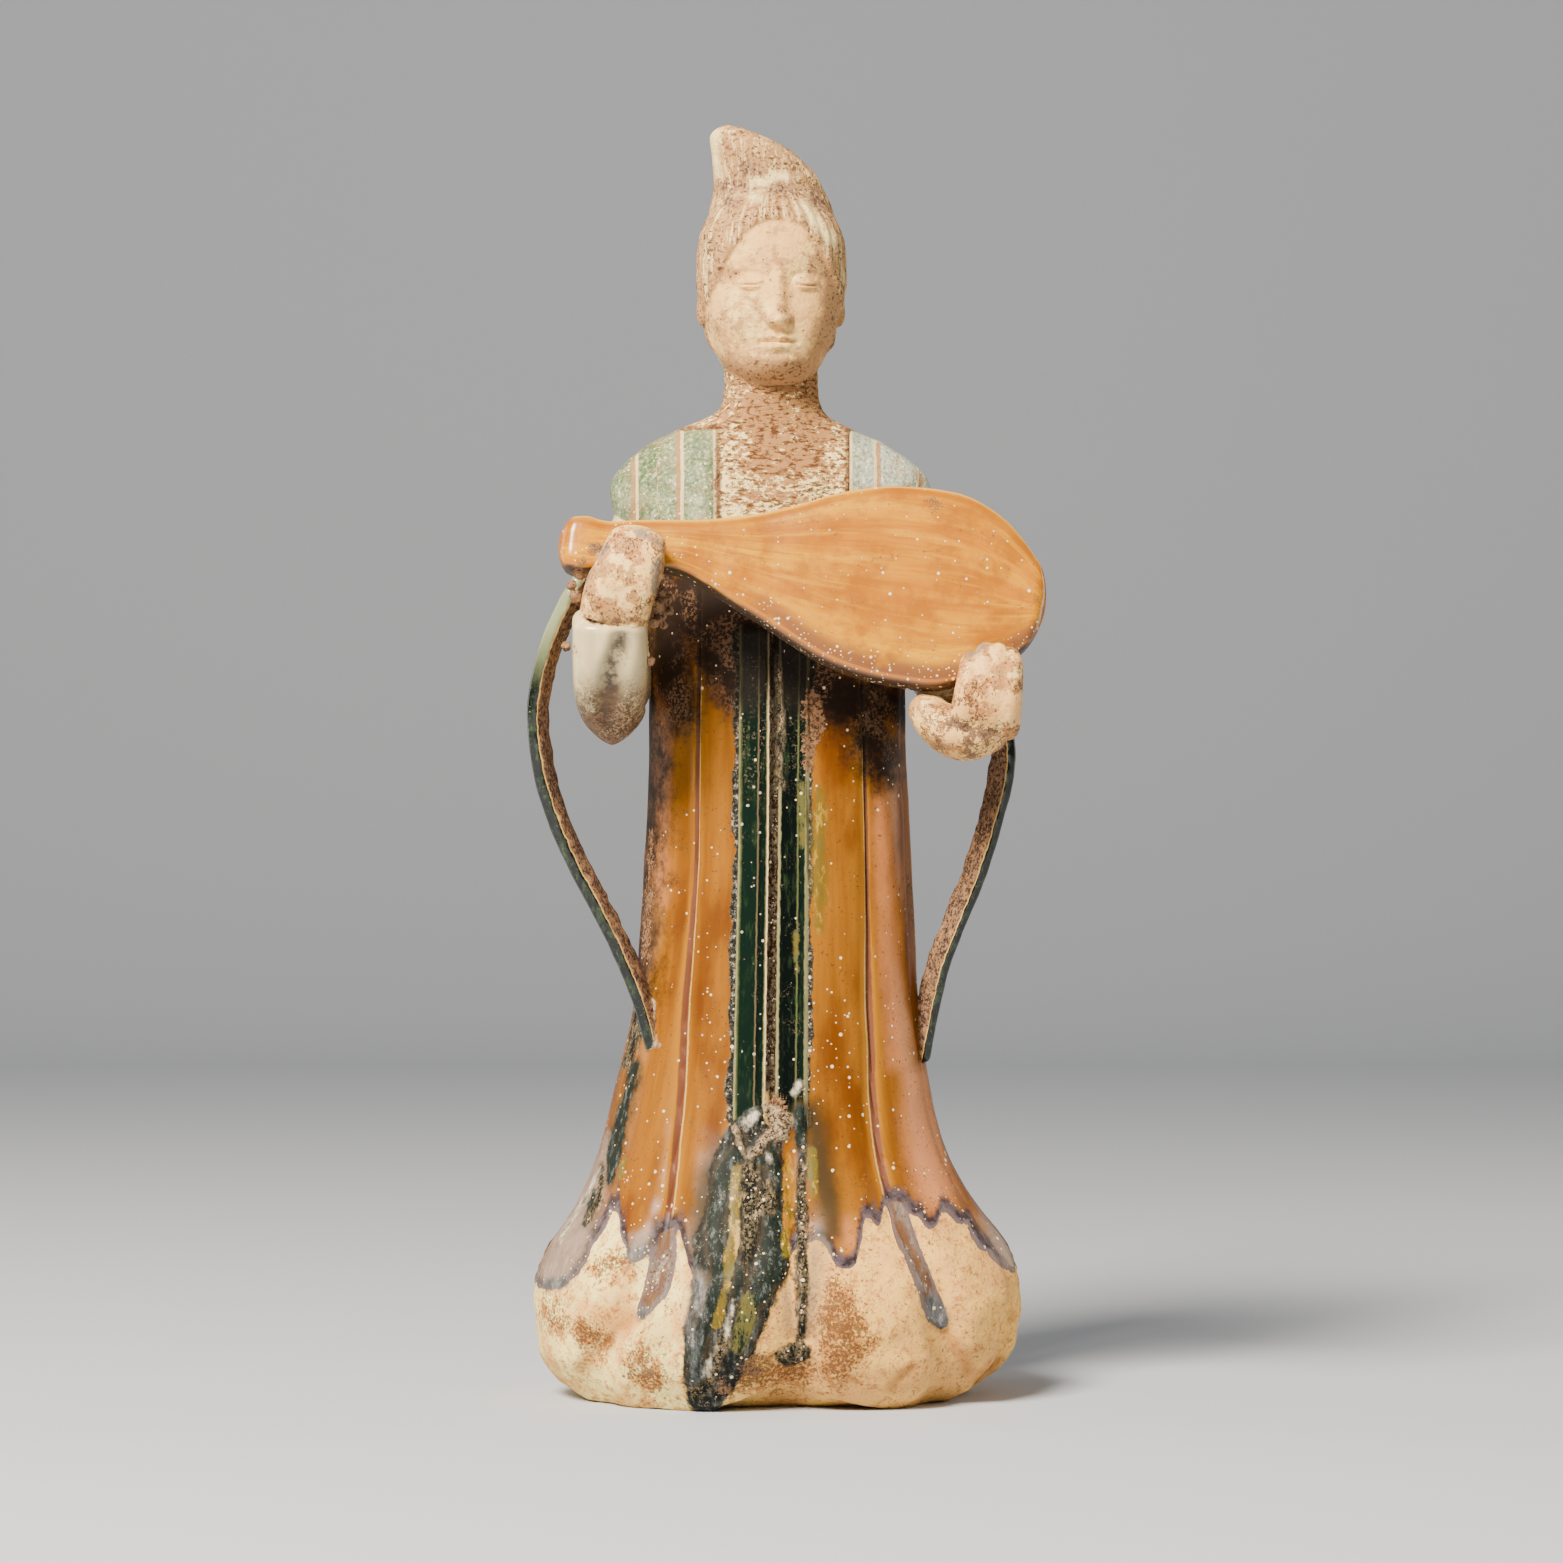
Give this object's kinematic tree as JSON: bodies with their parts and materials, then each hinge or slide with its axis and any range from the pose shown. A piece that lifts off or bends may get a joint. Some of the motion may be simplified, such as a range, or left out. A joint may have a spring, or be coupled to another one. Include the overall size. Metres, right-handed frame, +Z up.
{
  "type": "musician statuette",
  "caption": "Standing figure of a court musician in lead-glazed earthenware, holding a pear-shaped lute across the chest, with a leaning topknot and a long shawl.",
  "frame": {"origin": "middle of the flat underside of the hem", "axes": "+Z up, the face and the lute towards -Y, the lute's neck towards -X"},
  "size_m": [0.128, 0.1058, 0.32],
  "materials": {
    "glazed_earthenware": "glossy amber, green and cream lead glaze, with bare matt clay at the head and hem"
  },
  "bodies": {
    "root": {"lute_player": "glazed_earthenware"}
  },
  "joints": []
}
